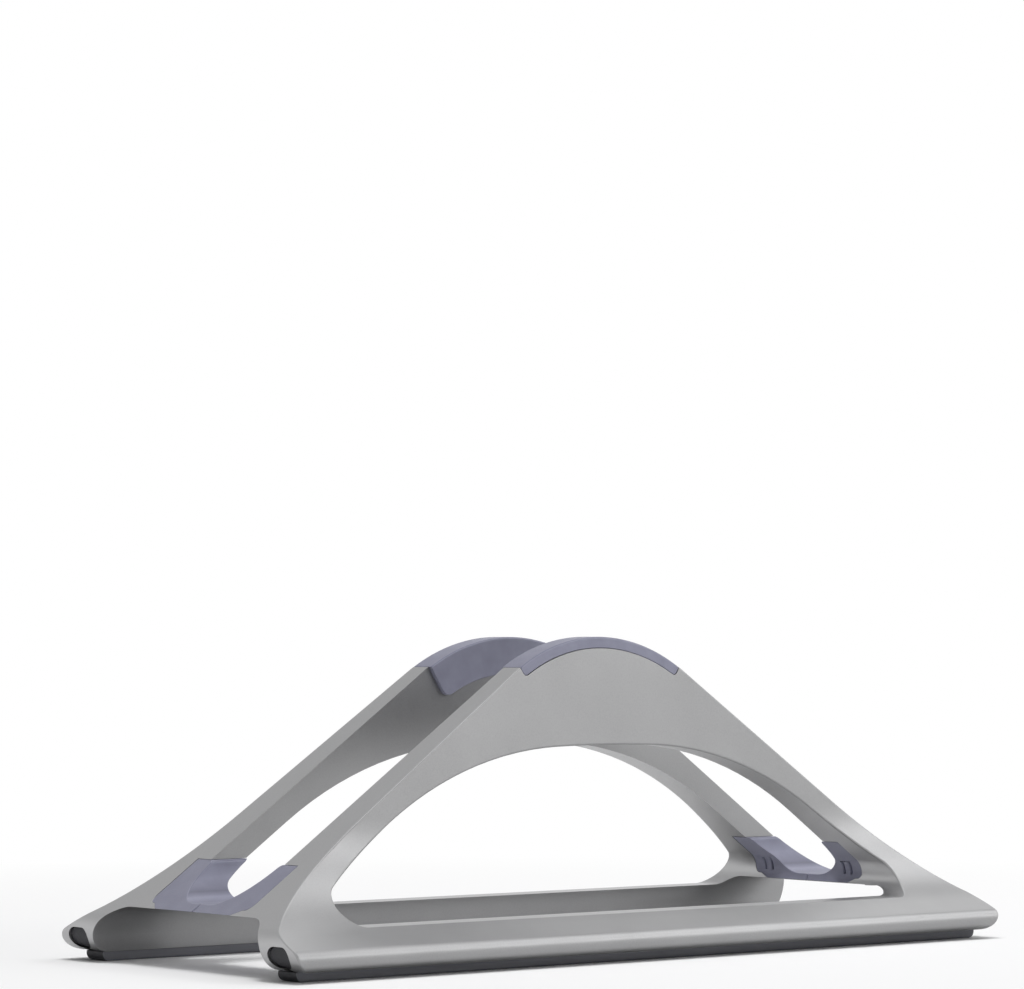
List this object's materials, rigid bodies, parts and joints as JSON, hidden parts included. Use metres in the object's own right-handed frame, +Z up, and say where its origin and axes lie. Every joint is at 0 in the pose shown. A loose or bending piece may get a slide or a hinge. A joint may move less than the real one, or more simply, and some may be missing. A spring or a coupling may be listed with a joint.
{
  "type": "vertical laptop stand",
  "caption": "Upright laptop stand: arched aluminium sides with soft-lined feet form a slot whose width slides wider for a thicker laptop and is clamped by socket screws.",
  "frame": {"origin": "middle of the footprint, on the table", "axes": "+X along the slot, +Y across it from the front side to the back side, +Z up"},
  "size_m": [0.262, 0.1124, 0.0905],
  "materials": {
    "satin_aluminium": "satin bead-blasted anodised grey aluminium",
    "silicone_pad": "matt blue-grey moulded silicone",
    "foot_rubber": "matt dark grey extruded rubber",
    "screw_steel": "turned steel with a hex socket"
  },
  "bodies": {
    "front": {"front_side": "satin_aluminium", "front_top_pad": "silicone_pad", "front_foot_strip": "foot_rubber", "front_left_cradle_pad": "silicone_pad", "front_right_cradle_pad": "silicone_pad"},
    "back": {"back_side": "satin_aluminium", "back_top_pad": "silicone_pad", "back_foot_strip": "foot_rubber", "back_left_cradle_pad": "silicone_pad", "back_right_cradle_pad": "silicone_pad"},
    "left_clamp_screw": {"left_clamp_screw": "screw_steel"},
    "right_clamp_screw": {"right_clamp_screw": "screw_steel"}
  },
  "joints": [
    {"name": "width_slide", "type": "slide", "parent": "front", "child": "back", "axis": [0, 1, 0], "range_m": [0, 0.0125]},
    {"name": "left_screw_turn", "type": "hinge", "parent": "front", "child": "left_clamp_screw", "pos_m": [-0.11432, -0.0185, 0.017], "axis": [0, 0, 1], "range_deg": [0, 360]},
    {"name": "right_screw_turn", "type": "hinge", "parent": "front", "child": "right_clamp_screw", "pos_m": [0.11432, -0.0185, 0.017], "axis": [0, 0, 1], "range_deg": [0, 360]}
  ]
}
